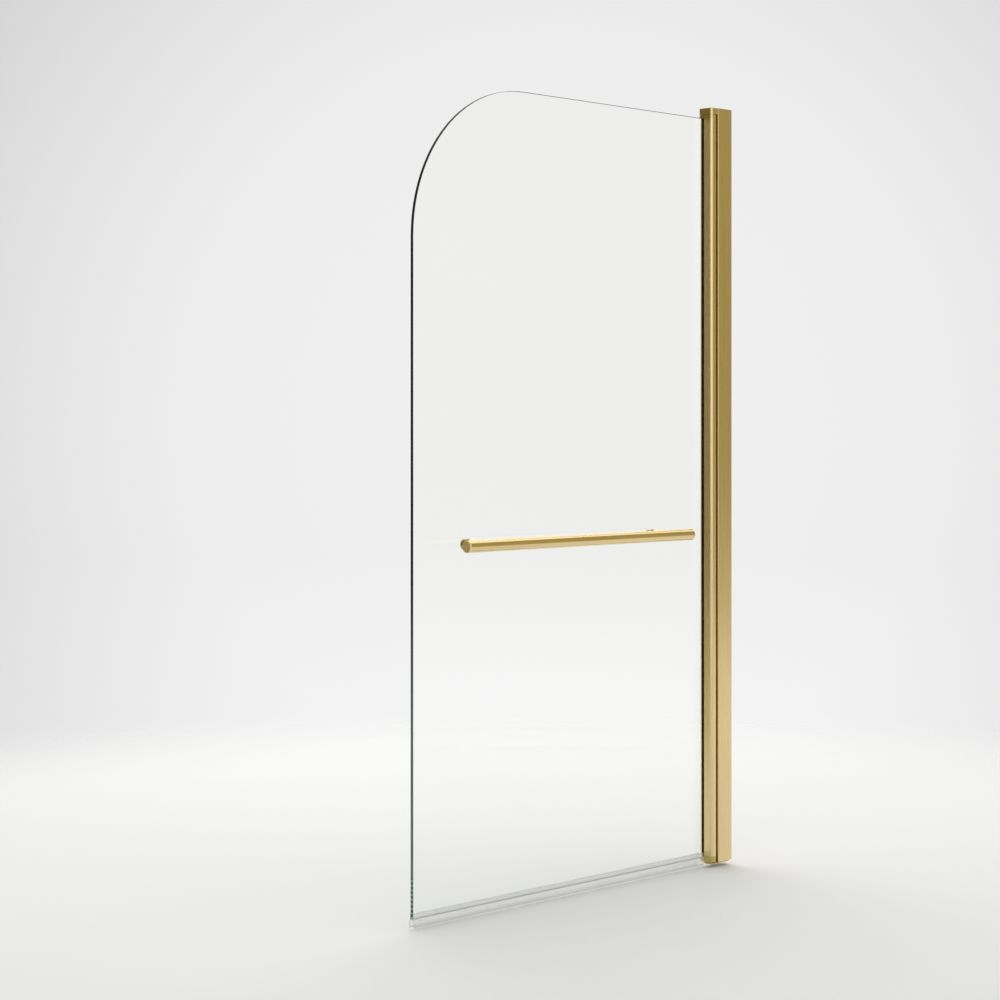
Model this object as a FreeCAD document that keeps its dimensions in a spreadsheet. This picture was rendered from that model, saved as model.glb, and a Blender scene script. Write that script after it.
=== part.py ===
import FreeCAD, Part

import math
import os
import re

import Sketcher

# Hinged bath screen. The wall is the plane x = 0 and the screen reaches towards -X. The front, with the
# towel rail, faces -Y, and z = 0 is the bath rim that the bottom seal rests on. Lengths are in mm.

Vector = FreeCAD.Vector
Rotation = FreeCAD.Rotation

doc = FreeCAD.newDocument("bath_screen")

# ---------------------------------------------------------------- driving sizes

SIZES = {
    # overall
    "screen_height": 1400,
    "screen_width": 800,
    "post_thickness": 30,
    # wall channel
    "channel_depth": 38.7,
    "channel_wall": 1.6,
    "channel_web": 2,
    "channel_lift": 5.5,
    "channel_edge_radius": 0.8,
    "wall_hole_radius": 2.75,
    "wall_hole_margin": 110,
    # adjusting post inside the channel
    "slide_clearance": 0.2,
    "adjusting_wall": 1.5,
    "screw_head_room": 4.5,
    "adjust_travel": 15,
    "port_radius": 1.6,
    "port_boss_radius": 3,
    "port_depth_behind_nest": 2.8,
    "port_spread_angle": 25,
    # clamp screws on the rear face
    "clamp_from_wall": 26,
    "clamp_margin": 150,
    "clamp_screw_radius": 2.4,
    "clamp_hole_clearance": 0.25,
    "clamp_head_radius": 4.2,
    "clamp_head_height": 2.2,
    "clamp_socket_radius": 1.75,
    "clamp_socket_depth": 1.4,
    "clamp_nut_width": 8,
    "clamp_nut_thickness": 3,
    "cover_radius": 6.2,
    "cover_wall": 1,
    "cover_gap": 0.4,
    # pivot
    "pivot_reach": 52,
    "pivot_offset": 1,
    "barrel_radius": 15.1,
    "nest_clearance": 2.5,
    "pin_radius": 2.5,
    "pin_clearance": 0.05,
    "bush_wall": 0.85,
    "bush_length": 24,
    "pin_grip": 8,
    "pin_spare": 2,
    "bore_clearance": 0.3,
    # pivot profile
    "nose_reach": 58,
    "nose_fillet": 5,
    "rear_edge_radius": 1.6,
    "rear_flat_length": 11.5,
    "slot_depth": 9.5,
    "rear_lip": 3,
    "hollow_inner_radius": 5.8,
    "hollow_from_pivot": 2.9,
    "hollow_wall": 1.6,
    "hollow_top": 0.4,
    "profile_port_radius": 1.6,
    # heads, collar, end cap
    "head_height": 12,
    "head_gap": 1,
    "seam_gap": 0.3,
    "head_edge_radius": 0.8,
    "head_wall_gap": 2.5,
    "collar_height": 5.8,
    "seam_height": 0.7,
    "seam_inset": 0.8,
    "crown_gap": 0.2,
    "crown_inset": 1.2,
    "plate_lift": 3,
    "plate_thickness": 2.5,
    "plate_disc_radius": 7,
    "plate_set_back": 0.5,
    "plate_front_set_back": 3.4,
    "plate_arm_half_width": 6.5,
    "plate_arm_run": 9,
    "plate_swing_radius": 16.6,
    "washer_thickness": 0.6,
    "washer_radius": 5.5,
    "end_cap_height": 11.2,
    "end_cap_edge_radius": 1.6,
    # small screws at both ends of the post
    "screw_radius": 1.5,
    "screw_hole_clearance": 0.3,
    "screw_head_radius": 2.9,
    "screw_head_height": 1.6,
    "screw_grip": 9,
    "end_screw_inset": 6.1,
    "end_screw_side_angle": 24,
    "end_screw_front_angle": -97,
    "socket_radius": 1.15,
    "socket_depth": 1.3,
    # glass and glazing
    "glass_thickness": 6,
    "glass_lift": 14.5,
    "glass_corner_radius": 260,
    "glass_arris": 0.5,
    "glass_edge_play": 0.5,
    "glass_side_play": 0.3,
    "glazing_tape": 0.4,
    "gasket_width": 2.2,
    "gasket_stand": 0.5,
    "gasket_bevel": 0.8,
    "packer_length": 60,
    "packer_margin": 200,
    "foot_pad": 1,
    "foot_packer_inset": 2.5,
    # seal between the posts
    "gap_seal_width": 4,
    "gap_seal_touch": 0.4,
    "gap_seal_angle": -12,
    # bottom seal
    "seal_wall": 0.9,
    "seal_fit": 0.1,
    "seal_lip_height": 9,
    "seal_lip_flare": 1.4,
    "seal_skirt_reach": 3.2,
    "seal_end_gap": 0.8,
    "seal_fin_inset": 2.2,
    "seal_fin_width": 1.1,
    "seal_notch_length": 8,
    # towel rail
    "rail_height": 616,
    "rail_stand_off": 42.2,
    "bar_radius": 10.2,
    "bar_wall": 1.5,
    "bar_length": 576,
    "bar_start": 80,
    "bar_edge_radius": 1.2,
    "bar_cap_thickness": 3,
    "bar_plug_length": 8,
    "bar_plug_clearance": 0.1,
    "rail_post_inset": 52,
    "rail_post_radius": 9,
    "spigot_radius": 4.5,
    "spigot_root": 3,
    "rear_cap_radius": 9.5,
    "rear_cap_height": 11.2,
    "rear_cap_edge_radius": 1,
    "rail_washer_thickness": 0.8,
    "rail_washer_radius": 8.5,
    "glass_hole_radius": 7,
    "sleeve_clearance": 0.2,
    "stud_radius": 3,
    "stud_clearance": 0.1,
    "stud_grip": 12,
    "stud_cap_grip": 8,
    # how far a cutting tool runs past what it cuts
    "overrun": 1,
}

sheet = doc.addObject("Spreadsheet::Sheet", "Sizes")
for row, (alias, size) in enumerate(SIZES.items(), start=1):
    sheet.set(f"A{row}", alias)
    sheet.set(f"B{row}", str(size))
    sheet.setAlias(f"B{row}", alias)
doc.recompute()

# ---------------------------------------------------------------- derived places, as expressions

HALF = "(post_thickness / 2)"
TOP = "screen_height"
CHANNEL_INNER = f"({HALF} - channel_wall)"
ADJUSTING_HALF = f"({CHANNEL_INNER} - slide_clearance)"
ADJUSTING_BACK = "(channel_web + screw_head_room)"
PIVOT_X = "(-pivot_reach)"
PIVOT_Y = "(-pivot_offset)"
NEST_RADIUS = "(barrel_radius + nest_clearance)"
PORT_ORBIT = f"({NEST_RADIUS} + port_depth_behind_nest)"
BUSH_RADIUS = "(pin_radius + pin_clearance + bush_wall)"

GLASS_BACK = f"({HALF} - rear_lip - glazing_tape)"
GLASS_FRONT = f"({GLASS_BACK} - glass_thickness)"
SLOT_FRONT = f"({GLASS_FRONT} - gasket_width)"
SLOT_BACK = f"({HALF} - rear_lip)"
SLOT_END = "(-nose_reach + slot_depth)"
GLASS_END = f"({SLOT_END} - glass_edge_play)"

HEAD_BOTTOM = f"({TOP} - head_height)"
CROWN_TOP = f"({HEAD_BOTTOM} - crown_gap)"
COLLAR_TOP = f"({HEAD_BOTTOM} - head_gap)"
PROFILE_TOP = f"({COLLAR_TOP} - collar_height)"
PLATE_TOP = "(plate_lift + plate_thickness)"
END_CAP_BOTTOM = f"({PLATE_TOP} + washer_thickness)"
PROFILE_BOTTOM = f"({END_CAP_BOTTOM} + end_cap_height)"

BAR_Y = f"({GLASS_FRONT} - rail_stand_off)"
BAR_START = "(-screen_width + bar_start)"
BAR_END = f"({BAR_START} + bar_length)"
POST_PLACES = {
    "free": f"({BAR_START} + rail_post_inset)",
    "wall": f"({BAR_END} - rail_post_inset)",
}
CLAMP_HEIGHTS = [
    "(channel_lift + clamp_margin)",
    f"((channel_lift + {TOP}) / 2)",
    f"({TOP} - clamp_margin)",
]
WALL_HOLE_HEIGHTS = [
    "(channel_lift + wall_hole_margin)",
    f"((channel_lift + {TOP}) / 2)",
    f"({TOP} - wall_hole_margin)",
]

# ---------------------------------------------------------------- helpers

NEAR = 0.01
LONG_EDGE = 100
# The probe's height stands for the value of an expression. The base keeps it above zero.
PROBE_BASE = 5000
probe = doc.addObject("Part::Cylinder", "probe")

TURN = {
    "z": Rotation(),
    "x": Rotation(Vector(0, 1, 0), 90),
    "y": Rotation(Vector(1, 0, 0), -90),
}
nodes = {}


def bound(text):
    """The expression with every size name pointing at the sheet."""
    return re.sub(r"[a-z][a-z_]+", lambda m: f"Sizes.{m[0]}" if m[0] in SIZES else m[0], text)


def number(text):
    """The present value of an expression, for picking edges and rounding them."""
    probe.setExpression("Height", bound(f"{text} + {PROBE_BASE}"))
    probe.recompute()
    return probe.Height.Value - PROBE_BASE


def place(item, x="0", y="0", z="0"):
    for axis, text in zip("xyz", (x, y, z)):
        item.setExpression(f"Placement.Base.{axis}", bound(text))
    return item


def box(name, x, y, z):
    """A block between the low and high expressions on each axis."""
    item = doc.addObject("Part::Box", name)
    for size, (low, high) in zip(("Length", "Width", "Height"), (x, y, z)):
        item.setExpression(size, bound(f"({high}) - ({low})"))
    return place(item, x[0], y[0], z[0])


def cylinder(name, radius, start, length, along="z"):
    """A round bar from the start point, a length along one axis."""
    item = doc.addObject("Part::Cylinder", name)
    item.Placement = FreeCAD.Placement(Vector(), TURN[along])
    item.setExpression("Radius", bound(radius))
    item.setExpression("Height", bound(length))
    return place(item, *start)


def cone(name, radius, end_radius, start, length):
    """A taper along +Z."""
    item = doc.addObject("Part::Cone", name)
    item.setExpression("Radius1", bound(radius))
    item.setExpression("Radius2", bound(end_radius))
    item.setExpression("Height", bound(length))
    return place(item, *start)


def hexagon(name, radius, start, length, along="z"):
    """A six-sided bar from the start point, a length along one axis."""
    item = doc.addObject("Part::Prism", name)
    item.Polygon = 6
    item.Placement = FreeCAD.Placement(Vector(), TURN[along])
    item.setExpression("Circumradius", bound(radius))
    item.setExpression("Height", bound(length))
    return place(item, *start)


def fuse(name, shapes):
    item = doc.addObject("Part::MultiFuse", name)
    item.Shapes = shapes
    item.Refine = True
    return item


def group(name, shapes):
    """Separate solids that share one node."""
    item = doc.addObject("Part::Compound", name)
    item.Links = shapes
    return item


def common(name, shapes):
    item = doc.addObject("Part::MultiCommon", name)
    item.Shapes = shapes
    return item


def cut(name, base, tools):
    item = doc.addObject("Part::Cut", name)
    item.Base = base
    item.Tool = tools[0] if len(tools) == 1 else group(f"{name}_tools", tools)
    return item


def edges_where(shape, test):
    return [index for index, edge in enumerate(shape.Edges, start=1) if test(edge)]


def along_z(x, y):
    """A test for the upright edge at this plan point."""

    def test(edge):
        ends = [vertex.Point for vertex in edge.Vertexes]
        if len(ends) != 2 or abs(ends[0].z - ends[1].z) < NEAR:
            return False
        return all(math.hypot(point.x - x, point.y - y) < NEAR for point in ends)

    return test


def at_level(z):
    """A test for edges that lie at one height."""
    return lambda edge: all(abs(vertex.Point.z - z) < NEAR for vertex in edge.Vertexes)


def at_depth(axis, value):
    """A test for edges that lie in one plane across x or y."""
    return lambda edge: all(abs(getattr(vertex.Point, axis) - value) < NEAR for vertex in edge.Vertexes)


def round_edges(name, base, radius, test):
    """Round the edges of a primitive or boolean that pass the test."""
    doc.recompute()
    item = doc.addObject("Part::Fillet", name)
    item.Base = base
    size = number(radius)
    item.Edges = [(index, size, size) for index in edges_where(base.Shape, test)]
    return item


def keep(node, item):
    item.Label = node
    nodes[node] = item
    return item


def origin_plane(body, role):
    return next(plane for plane in body.Origin.OriginFeatures if plane.Role == role)


def sketch_on(body, name, role, offset):
    sketch = body.newObject("Sketcher::SketchObject", name)
    sketch.AttachmentSupport = [(origin_plane(body, role), "")]
    sketch.MapMode = "FlatFace"
    sketch.setExpression("AttachmentOffset.Base.z", bound(offset))
    return sketch


def tie(sketch, kind, geometry, point, value, text):
    index = sketch.addConstraint(Sketcher.Constraint(kind, geometry, point, value))
    sketch.setExpression(f"Constraints[{index}]", bound(text))


def outline(body, name, role, points, offset="0"):
    """A closed polygon whose every corner is tied to two expressions."""
    sketch = sketch_on(body, name, role, offset)
    count = len(points)
    turns = [2 * math.pi * i / count for i in range(count)]
    rough = [Vector(math.cos(turn), math.sin(turn), 0) for turn in turns]
    for i in range(count):
        sketch.addGeometry(Part.LineSegment(rough[i], rough[(i + 1) % count]))
    for i in range(count):
        sketch.addConstraint(Sketcher.Constraint("Coincident", i, 2, (i + 1) % count, 1))
    for i, (across, up) in enumerate(points):
        tie(sketch, "DistanceX", i, 1, rough[i].x, across)
        tie(sketch, "DistanceY", i, 1, rough[i].y, up)
    return sketch


def circles(body, name, role, centres, radius, offset="0"):
    """Equal circles at the given centres."""
    sketch = sketch_on(body, name, role, offset)
    for i, (across, up) in enumerate(centres):
        sketch.addGeometry(Part.Circle(Vector(i, 1, 0), Vector(0, 0, 1), 1))
        tie(sketch, "DistanceX", i, 3, i, across)
        tie(sketch, "DistanceY", i, 3, 1, up)
        index = sketch.addConstraint(Sketcher.Constraint("Radius", i, 1))
        sketch.setExpression(f"Constraints[{index}]", bound(radius))
    return sketch


def pad(body, sketch, length):
    item = body.newObject("PartDesign::Pad", f"{body.Name}_pad")
    item.Profile = sketch
    item.setExpression("Length", bound(length))
    sketch.Visibility = False
    return item


def pocket(body, sketch, length, reverse=False):
    before = body.Tip.Shape.Volume
    item = body.newObject("PartDesign::Pocket", f"{sketch.Name}_pocket")
    item.Profile = sketch
    item.Reversed = reverse
    item.setExpression("Length", bound(length))
    doc.recompute()
    if item.Shape.Volume >= before:
        raise ValueError(f"{item.Name} cuts nothing")
    return item


def dress(body, kind, name, test, size):
    """A fillet or chamfer on the edges of the body that pass the test."""
    doc.recompute()
    base = body.Tip
    picked = edges_where(base.Shape, test)
    item = body.newObject(f"PartDesign::{kind}", name)
    item.Base = (base, [f"Edge{index}" for index in picked])
    item.setExpression("Radius" if kind == "Fillet" else "Size", bound(size))
    doc.recompute()
    return item


# ---------------------------------------------------------------- wall channel


def wall_channel():
    """U-channel: a web on the wall with screw holes, and two flanges."""
    body = doc.addObject("PartDesign::Body", "wall_channel")
    section = outline(
        body,
        "channel_section",
        "XY_Plane",
        [
            ("0", f"-{HALF}"),
            ("0", HALF),
            ("-channel_depth", HALF),
            ("-channel_depth", CHANNEL_INNER),
            ("-channel_web", CHANNEL_INNER),
            ("-channel_web", f"-{CHANNEL_INNER}"),
            ("-channel_depth", f"-{CHANNEL_INNER}"),
            ("-channel_depth", f"-{HALF}"),
        ],
        "channel_lift",
    )
    pad(body, section, f"{TOP} - channel_lift")
    doc.recompute()
    wall_places = [("0", height) for height in WALL_HOLE_HEIGHTS]
    wall_holes = circles(body, "wall_holes", "YZ_Plane", wall_places, "wall_hole_radius")
    pocket(body, wall_holes, "channel_web + overrun")
    clamp_holes = circles(
        body,
        "clamp_holes",
        "XZ_Plane",
        [("-clamp_from_wall", height) for height in CLAMP_HEIGHTS],
        "clamp_screw_radius + clamp_hole_clearance",
        f"-{HALF} - overrun",
    )
    pocket(body, clamp_holes, "channel_wall + overrun * 2", reverse=True)
    mouth = number("-channel_depth")
    half = number(HALF)
    corners = [along_z(mouth, half), along_z(mouth, -half)]

    def corner_edge(edge):
        return any(test(edge) for test in corners)

    dress(body, "Fillet", "channel_edges", corner_edge, "channel_edge_radius")
    keep("wall_channel", body)


# ---------------------------------------------------------------- adjusting post


def port_places():
    """Plan places of the two screw ports behind the hollow face."""
    return [
        (
            f"{PIVOT_X} + {PORT_ORBIT} * cos({sign}port_spread_angle)",
            f"{PIVOT_Y} + {PORT_ORBIT} * sin({sign}port_spread_angle)",
        )
        for sign in ("-", "")
    ]


def clamp_slot(i, height):
    """Round-ended slot through the rear flange, as long as the travel."""
    radius = "(clamp_screw_radius + clamp_hole_clearance)"
    low = f"{ADJUSTING_HALF} - adjusting_wall - overrun"
    depth = "adjusting_wall + overrun * 2"
    first = "-clamp_from_wall"
    last = "-clamp_from_wall + adjust_travel"
    levels = (f"{height} - {radius}", f"{height} + {radius}")
    straight = box(f"clamp_slot_straight_{i}", (first, last), (low, f"{ADJUSTING_HALF} + overrun"), levels)
    ends = [
        cylinder(f"clamp_slot_{end}_{i}", radius, (x, low, height), depth, "y")
        for end, x in (("first", first), ("last", last))
    ]
    return fuse(f"clamp_slot_{i}", [straight] + ends)


def adjusting_post():
    """Inner profile: a hollow face round the pivot, two flanges and two screw ports."""
    low, high = PLATE_TOP, HEAD_BOTTOM
    length = f"({high} - {low})"
    depth = ("-channel_depth", f"-{ADJUSTING_BACK}")
    sides = (f"-{ADJUSTING_HALF}", ADJUSTING_HALF)
    block = box("adjusting_block", depth, sides, (low, high))
    nest = cylinder("adjusting_nest", NEST_RADIUS, (PIVOT_X, PIVOT_Y, low), length)
    room = box(
        "adjusting_room",
        ("-channel_depth", f"-{ADJUSTING_BACK} + adjusting_wall"),
        (f"-{ADJUSTING_HALF} + adjusting_wall", f"{ADJUSTING_HALF} - adjusting_wall"),
        (low, high),
    )
    wall = cylinder(
        "adjusting_nest_wall", f"{NEST_RADIUS} + adjusting_wall", (PIVOT_X, PIVOT_Y, low), length
    )
    bosses = [
        cylinder(f"adjusting_boss_{i}", "port_boss_radius", (x, y, low), length)
        for i, (x, y) in enumerate(port_places())
    ]
    hollow = cut("adjusting_hollow", room, [wall] + bosses)
    ports = [
        cylinder(f"adjusting_port_{i}", "port_radius", (x, y, low), length)
        for i, (x, y) in enumerate(port_places())
    ]
    slots = fuse("clamp_slots", [clamp_slot(i, height) for i, height in enumerate(CLAMP_HEIGHTS)])
    keep("adjusting_post", cut("adjusting_post", block, [nest, hollow] + ports + [slots]))


# ---------------------------------------------------------------- pivot profile and what ends it


def profile_outline(name, low, high, inset="0"):
    """The post's plan shape: a flat nose with a rounded front corner that runs into a barrel about the
    pivot, and a shoulder behind it, round the slot for the glass. An inset makes it smaller all round."""
    length = f"({high} - {low})"
    nose_end = f"-nose_reach + {inset}"
    front = f"-{HALF} + {inset}"
    back = f"{HALF} - {inset}"
    nose = box(f"{name}_nose", (nose_end, PIVOT_X), (front, back), (low, high))
    front_edge = along_z(number(nose_end), number(front))
    rear_edge = along_z(number(nose_end), number(back))
    rounded = round_edges(f"{name}_front_corner", nose, f"nose_fillet - {inset}", front_edge)
    eased = round_edges(f"{name}_rear_corner", rounded, "rear_edge_radius", rear_edge)
    barrel = cylinder(f"{name}_barrel", f"barrel_radius - {inset}", (PIVOT_X, PIVOT_Y, low), length)
    limit = box(f"{name}_limit", (PIVOT_X, "0"), (front, back), (low, high))
    side = common(f"{name}_barrel_side", [barrel, limit])
    shoulder_end = f"-nose_reach + rear_flat_length - {inset}"
    shoulder = box(f"{name}_shoulder", (PIVOT_X, shoulder_end), (PIVOT_Y, back), (low, high))
    return fuse(f"{name}_outline", [eased, side, shoulder])


def end_screw_places():
    """Plan places of the screws that hold the collar and the end cap."""
    orbit = "(barrel_radius - end_screw_inset)"
    return [
        (f"{PIVOT_X} + {orbit} * cos({angle})", f"{PIVOT_Y} + {orbit} * sin({angle})")
        for angle in ("end_screw_side_angle", "end_screw_front_angle")
    ]


def pivot_profile():
    low, high = PROFILE_BOTTOM, PROFILE_TOP
    length = f"({high} - {low})"
    outer = profile_outline("profile", low, high)
    slot = box("profile_slot", ("-nose_reach - overrun", SLOT_END), (SLOT_FRONT, SLOT_BACK), (low, high))
    bore = cylinder("profile_bore", BUSH_RADIUS, (PIVOT_X, PIVOT_Y, low), length)
    ports = [
        cylinder(f"profile_port_{i}", "profile_port_radius", (x, y, low), length)
        for i, (x, y) in enumerate(end_screw_places())
    ]
    ring = cut(
        "profile_ring",
        cylinder("profile_ring_outer", "barrel_radius - hollow_wall", (PIVOT_X, PIVOT_Y, low), length),
        [cylinder("profile_ring_inner", "hollow_inner_radius", (PIVOT_X, PIVOT_Y, low), length)],
    )
    quarter = box(
        "profile_quarter",
        (f"{PIVOT_X} + hollow_from_pivot", "0"),
        (f"-{HALF} + hollow_wall", f"{PIVOT_Y} + hollow_top"),
        (low, high),
    )
    hollow = common("profile_hollow", [ring, quarter])
    keep("pivot_profile", cut("pivot_profile", outer, [slot, bore, hollow] + ports))


def screw(name, x, y, low, high, down):
    """A countersunk screw through a piece from low to high, with its head flush, pointing down or up."""
    length = f"({high} - {low} - screw_head_height + screw_grip)"
    if down:
        seat = f"{high} - screw_head_height"
        head = cone(f"{name}_head", "screw_radius", "screw_head_radius", (x, y, seat), "screw_head_height")
        start = f"{low} - screw_grip"
        recess = f"{high} - socket_depth"
    else:
        head = cone(f"{name}_head", "screw_head_radius", "screw_radius", (x, y, low), "screw_head_height")
        start = f"{low} + screw_head_height"
        recess = low
    shank = cylinder(f"{name}_shank", "screw_radius", (x, y, start), length)
    socket = hexagon(f"{name}_socket", "socket_radius", (x, y, recess), "socket_depth")
    return cut(name, fuse(f"{name}_solid", [head, shank]), [socket])


def screw_seat(name, x, y, low, high, down):
    """The clearance hole and countersink for such a screw through a piece."""
    hole = cylinder(
        f"{name}_hole", "screw_radius + screw_hole_clearance", (x, y, low), f"({high}) - ({low})"
    )
    wide = "screw_head_radius + screw_hole_clearance"
    narrow = "screw_radius + screw_hole_clearance"
    if down:
        start = (x, y, f"{high} - screw_head_height")
        sink = cone(f"{name}_sink", narrow, wide, start, "screw_head_height")
    else:
        sink = cone(f"{name}_sink", wide, narrow, (x, y, low), "screw_head_height")
    return [hole, sink]


def end_screws(node, places, low, high, down):
    screws = [screw(f"{node}_{i}", x, y, low, high, down) for i, (x, y) in enumerate(places)]
    keep(node, group(node, screws))


def top_collar():
    """Ring on top of the pivot profile, with a seam groove at its foot and a crown just under the head.
    It turns with the profile."""
    seam_top = f"({PROFILE_TOP} + seam_height)"
    band = profile_outline("collar", seam_top, COLLAR_TOP)
    seam = profile_outline("collar_seam", PROFILE_TOP, seam_top, "seam_inset")
    crown = profile_outline("collar_crown", COLLAR_TOP, CROWN_TOP, "crown_inset")
    outer = fuse("collar_solid", [band, seam, crown])
    start = (PIVOT_X, PIVOT_Y, PROFILE_TOP)
    tools = [cylinder("collar_bore", "pin_radius + bore_clearance", start, f"{CROWN_TOP} - {PROFILE_TOP}")]
    for i, (x, y) in enumerate(end_screw_places()):
        tools += screw_seat(f"collar_screw_{i}", x, y, PROFILE_TOP, CROWN_TOP, True)
    keep("top_collar", cut("top_collar", outer, tools))
    end_screws("collar_screws", end_screw_places(), PROFILE_TOP, CROWN_TOP, True)


def bottom_end_cap():
    """Block under the pivot profile, with a seam groove at its top and a pocket that the foot of the
    glass stands in."""
    seam_low = f"({PROFILE_BOTTOM} - seam_height)"
    block = profile_outline("end_cap", END_CAP_BOTTOM, seam_low)
    foot = round_edges("end_cap_foot", block, "end_cap_edge_radius", at_level(number(END_CAP_BOTTOM)))
    seam = profile_outline("end_cap_seam", seam_low, PROFILE_BOTTOM, "seam_inset")
    outer = fuse("end_cap_solid", [foot, seam])
    start = (PIVOT_X, PIVOT_Y, END_CAP_BOTTOM)
    tools = [
        cylinder("end_cap_bore", "pin_radius + bore_clearance", start, "end_cap_height"),
        box(
            "end_cap_pocket",
            ("-nose_reach - overrun", SLOT_END),
            (f"{GLASS_FRONT} - glass_side_play", f"{GLASS_BACK} + glass_side_play"),
            ("glass_lift - foot_pad", PROFILE_BOTTOM),
        ),
    ]
    for i, (x, y) in enumerate(end_screw_places()):
        tools += screw_seat(f"end_cap_screw_{i}", x, y, END_CAP_BOTTOM, PROFILE_BOTTOM, False)
    keep("bottom_end_cap", cut("bottom_end_cap", outer, tools))
    end_screws("end_cap_screws", end_screw_places(), END_CAP_BOTTOM, PROFILE_BOTTOM, False)


# ---------------------------------------------------------------- head, plate and pivot pins


def head_outline(name, low, high, back):
    """Plan shape of the fixed head: the post's nose and a tail that runs into the wall channel."""
    nose_end = "-channel_depth - seam_gap"
    nose = box(f"{name}_nose", ("-nose_reach", nose_end), (f"-{HALF}", HALF), (low, high))
    front_edge = along_z(number("-nose_reach"), number(f"-{HALF}"))
    rear_edge = along_z(number("-nose_reach"), number(HALF))
    rounded = round_edges(f"{name}_front_corner", nose, "nose_fillet", front_edge)
    eased = round_edges(f"{name}_rear_corner", rounded, "rear_edge_radius", rear_edge)
    tail = box(f"{name}_tail", (PIVOT_X, back), (f"-{ADJUSTING_HALF}", ADJUSTING_HALF), (low, high))
    return fuse(f"{name}_outline", [eased, tail])


def top_head():
    """Fixed head over the pivot post, screwed to the adjusting post, with the upper pin pressed in."""
    outer = head_outline("head", HEAD_BOTTOM, TOP, "-head_wall_gap")
    nose_end = number("-channel_depth - seam_gap")
    at_top = at_level(number(TOP))

    def nose_edge(item):
        return at_top(item) and item.BoundBox.XMin < nose_end - NEAR

    edge = round_edges("head_edge", outer, "head_edge_radius", nose_edge)
    tools = [cylinder("head_bore", "pin_radius", (PIVOT_X, PIVOT_Y, HEAD_BOTTOM), "pin_grip")]
    for i, (x, y) in enumerate(port_places()):
        tools += screw_seat(f"head_screw_{i}", x, y, HEAD_BOTTOM, TOP, True)
    keep("top_head", cut("top_head", edge, tools))
    end_screws("head_screws", port_places(), HEAD_BOTTOM, TOP, True)


def bottom_plate():
    """Fixed plate under the adjusting post, with an arm that holds the lower pin. Beside the seal it is a
    small disc, so that the seal swings clear of it, and in front it follows the post's shape."""
    level = ("plate_lift", PLATE_TOP)
    axis = (PIVOT_X, PIVOT_Y, "plate_lift")
    disc = common(
        "plate_disc",
        [
            cylinder("plate_round_end", "plate_disc_radius", axis, "plate_thickness"),
            box(
                "plate_face",
                ("-nose_reach + plate_set_back", "-channel_depth"),
                (f"{PIVOT_Y} - plate_disc_radius", f"{PIVOT_Y} + plate_disc_radius"),
                level,
            ),
        ],
    )
    lip = box(
        "plate_lip",
        ("-nose_reach + plate_front_set_back", PIVOT_X),
        (f"-{HALF} + plate_set_back", PIVOT_Y),
        level,
    )
    curve = common(
        "plate_curve",
        [
            cylinder("plate_barrel", "barrel_radius - plate_set_back", axis, "plate_thickness"),
            box("plate_quarter", (PIVOT_X, "-channel_depth"), (f"-{HALF}", PIVOT_Y), level),
        ],
    )
    arm = box(
        "plate_arm",
        (PIVOT_X, "-channel_depth + plate_arm_run"),
        (f"{PIVOT_Y} - plate_arm_half_width", f"{PIVOT_Y} + plate_arm_half_width"),
        level,
    )
    foot = box(
        "plate_foot",
        ("-channel_depth", f"-{ADJUSTING_BACK}"),
        (f"-{ADJUSTING_HALF}", ADJUSTING_HALF),
        level,
    )
    swing = cylinder("plate_swing", "plate_swing_radius", axis, "plate_thickness")
    tail = cut("plate_tail", foot, [swing])
    outer = fuse("plate_outline", [disc, lip, curve, arm, tail])
    tools = [cylinder("plate_bore", "pin_radius", axis, "plate_thickness")]
    for i, (x, y) in enumerate(port_places()):
        tools += screw_seat(f"plate_screw_{i}", x, y, "plate_lift", PLATE_TOP, False)
    keep("bottom_plate", cut("bottom_plate", outer, tools))
    end_screws("plate_screws", port_places(), "plate_lift", PLATE_TOP, False)


def pins_and_bushes():
    """Pins that stay with the head and the plate, and the bushes in the profile that turn on them."""
    top_low = f"({PROFILE_TOP} - bush_length)"
    top_reach = f"({HEAD_BOTTOM} + pin_grip - {top_low} - pin_spare)"
    top_start = (PIVOT_X, PIVOT_Y, f"{top_low} + pin_spare")
    keep("top_pin", cylinder("top_pin", "pin_radius", top_start, top_reach))
    foot_reach = f"({PROFILE_BOTTOM} + bush_length - pin_spare - plate_lift)"
    foot_start = (PIVOT_X, PIVOT_Y, "plate_lift")
    keep("bottom_pin", cylinder("bottom_pin", "pin_radius", foot_start, foot_reach))
    for node, low in (("top_bush", top_low), ("bottom_bush", PROFILE_BOTTOM)):
        start = (PIVOT_X, PIVOT_Y, low)
        sleeve = cylinder(f"{node}_outer", BUSH_RADIUS, start, "bush_length")
        bore = cylinder(f"{node}_bore", "pin_radius + pin_clearance", start, "bush_length")
        keep(node, cut(node, sleeve, [bore]))
    start = (PIVOT_X, PIVOT_Y, PLATE_TOP)
    disc = cylinder("washer_disc", "washer_radius", start, "washer_thickness")
    hole = cylinder("washer_hole", "pin_radius + stud_clearance", start, "washer_thickness")
    keep("thrust_washer", cut("thrust_washer", disc, [hole]))


# ---------------------------------------------------------------- clamp screws on the rear face


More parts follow.
